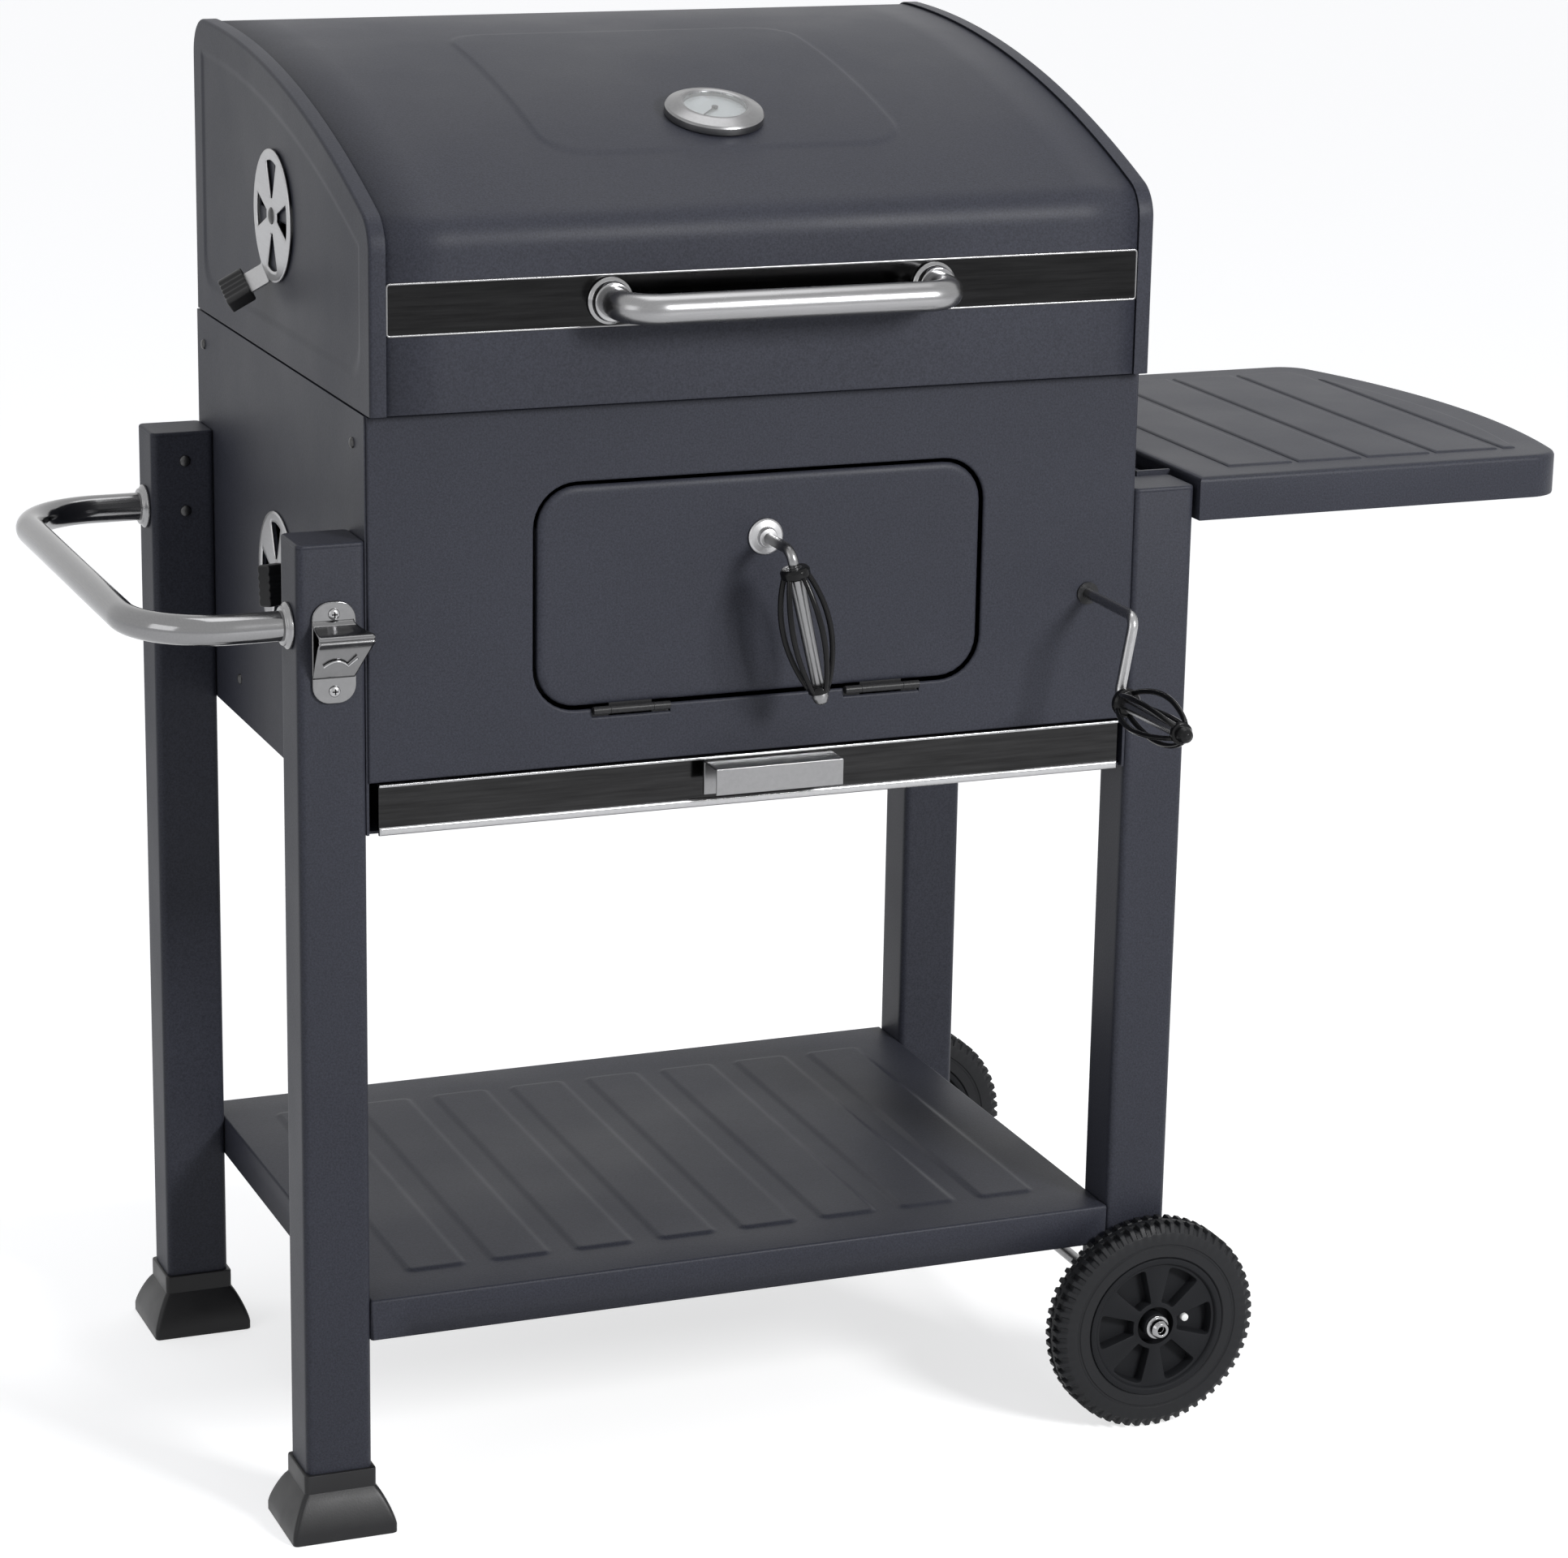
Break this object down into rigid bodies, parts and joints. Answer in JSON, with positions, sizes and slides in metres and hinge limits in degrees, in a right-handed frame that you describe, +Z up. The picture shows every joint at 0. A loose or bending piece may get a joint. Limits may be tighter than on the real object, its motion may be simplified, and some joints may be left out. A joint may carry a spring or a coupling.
{
  "type": "charcoal grill trolley",
  "caption": "Lidded charcoal grill on a wheeled cart, with fire door, crank-raised charcoal tray, ash drawer, folding side shelf, bottom shelf, vents and lid thermometer.",
  "frame": {"origin": "on the floor under the middle of the bounding box", "axes": "+X to the side shelf and wheels, +Y to the back, +Z up"},
  "size_m": [1.154, 0.694, 1.0723],
  "materials": {
    "anthracite_steel": "fine-textured powder coat",
    "polished_steel": "polished",
    "black_plastic": "satin moulded",
    "black_wire": "black enamel",
    "wheel_plastic": "moulded",
    "tyre_plastic": "moulded tread",
    "cast_grate": "enamelled cast iron",
    "tray_steel": "black enamel",
    "dial_white": "satin",
    "gauge_glass": "clear",
    "needle_black": "satin black"
  },
  "bodies": {
    "cart": {"leg_front_left": "anthracite_steel", "leg_front_right": "anthracite_steel", "leg_back_left": "anthracite_steel", "leg_back_right": "anthracite_steel", "leg_caps": "anthracite_steel", "feet": "black_plastic", "bottom_shelf": "anthracite_steel", "front_panel": "anthracite_steel", "back_panel": "anthracite_steel", "side_panel_left": "anthracite_steel", "side_panel_right": "anthracite_steel", "grate_ledges": "anthracite_steel", "cooking_grates": "cast_grate", "drawer_runners": "anthracite_steel", "wheel_axle": "polished_steel", "hub_nuts": "polished_steel", "push_handle": "polished_steel", "push_handle_flanges": "polished_steel", "bottle_opener": "polished_steel", "screws": "polished_steel", "shelf_rail": "anthracite_steel", "lid_hinge_brackets": "anthracite_steel", "door_hinge_pins": "polished_steel", "lift_bearings": "polished_steel"},
    "lid": {"lid_shell": "anthracite_steel", "lid_cap_left": "anthracite_steel", "lid_cap_right": "anthracite_steel", "lid_trim": "polished_steel", "lid_handle": "polished_steel", "lid_handle_flanges": "polished_steel", "thermometer_bezel": "polished_steel", "thermometer_dial": "dial_white", "thermometer_glass": "gauge_glass", "thermometer_stem": "polished_steel", "lid_hinge_leaves": "anthracite_steel"},
    "needle": {"thermometer_needle": "needle_black"},
    "lid_vent": {"lid_vent_disc": "anthracite_steel", "lid_vent_knob": "black_plastic"},
    "body_vent": {"body_vent_disc": "anthracite_steel", "body_vent_knob": "black_plastic"},
    "door": {"fire_door": "anthracite_steel", "door_hinge_knuckles": "polished_steel", "door_handle_flange": "polished_steel"},
    "door_handle": {"door_handle_rod": "polished_steel", "door_handle_grip": "black_wire", "door_latch": "polished_steel"},
    "drawer": {"ash_drawer": "tray_steel", "drawer_front": "anthracite_steel", "drawer_pull": "anthracite_steel"},
    "crank": {"crank_shaft": "polished_steel", "crank_grip": "black_wire", "lift_levers_right": "polished_steel"},
    "left_levers": {"lift_levers_left": "polished_steel"},
    "tray": {"charcoal_tray": "tray_steel"},
    "folding_shelf": {"side_shelf": "anthracite_steel", "shelf_lugs": "anthracite_steel"},
    "front_wheel": {"wheel_front": "wheel_plastic", "tyre_front": "tyre_plastic"},
    "back_wheel": {"wheel_back": "wheel_plastic", "tyre_back": "tyre_plastic"}
  },
  "joints": [
    {"name": "lid_hinge", "type": "hinge", "parent": "cart", "child": "lid", "pos_m": [-0.111, 0.3145, 0.845], "axis": [-1, 0, 0], "range_deg": [0, 95]},
    {"name": "needle_turn", "type": "hinge", "parent": "lid", "child": "needle", "pos_m": [-0.107, -0.029, 1.02608], "axis": [0, -0.2826, 0.9592], "range_deg": [-270, 0]},
    {"name": "lid_vent_turn", "type": "hinge", "parent": "lid", "child": "lid_vent", "pos_m": [-0.412, 0.079, 0.95], "axis": [1, 0, 0], "range_deg": [-22.5, 22.5]},
    {"name": "body_vent_turn", "type": "hinge", "parent": "cart", "child": "body_vent", "pos_m": [-0.412, 0.079, 0.678], "axis": [1, 0, 0], "range_deg": [0, 45]},
    {"name": "door_hinge", "type": "hinge", "parent": "cart", "child": "door", "pos_m": [-0.111, -0.152, 0.6175], "axis": [1, 0, 0], "range_deg": [0, 50]},
    {"name": "door_handle_turn", "type": "hinge", "parent": "door", "child": "door_handle", "pos_m": [-0.109, -0.151, 0.738], "axis": [0, 1, 0], "range_deg": [0, 103]},
    {"name": "drawer_slide", "type": "slide", "parent": "cart", "child": "drawer", "axis": [0, -1, 0], "range_m": [0, 0.3]},
    {"name": "crank_turn", "type": "hinge", "parent": "cart", "child": "crank", "pos_m": [0.152, -0.151, 0.677], "axis": [0, 1, 0], "range_deg": [0, 100]},
    {"name": "left_levers_turn", "type": "hinge", "parent": "cart", "child": "left_levers", "pos_m": [-0.329, 0.079, 0.677], "axis": [0, 1, 0], "range_deg": [0, 100]},
    {"name": "tray_level", "type": "hinge", "parent": "crank", "child": "tray", "pos_m": [0.12308, 0.079, 0.64253], "axis": [0, 1, 0], "range_deg": [-100, 0]},
    {"name": "shelf_fold", "type": "hinge", "parent": "cart", "child": "folding_shelf", "pos_m": [0.253, 0.049, 0.739], "axis": [0, 1, 0], "range_deg": [0, 90]},
    {"name": "front_wheel_spin", "type": "hinge", "parent": "cart", "child": "front_wheel", "pos_m": [0.222, -0.166, 0.0855], "axis": [0, 1, 0], "continuous": true},
    {"name": "back_wheel_spin", "type": "hinge", "parent": "cart", "child": "back_wheel", "pos_m": [0.222, 0.324, 0.0855], "axis": [0, 1, 0], "continuous": true}
  ],
  "couplings": [
    {"joint": "left_levers_turn", "follows": "crank_turn", "ratio": 1},
    {"joint": "tray_level", "follows": "crank_turn", "ratio": -1}
  ]
}
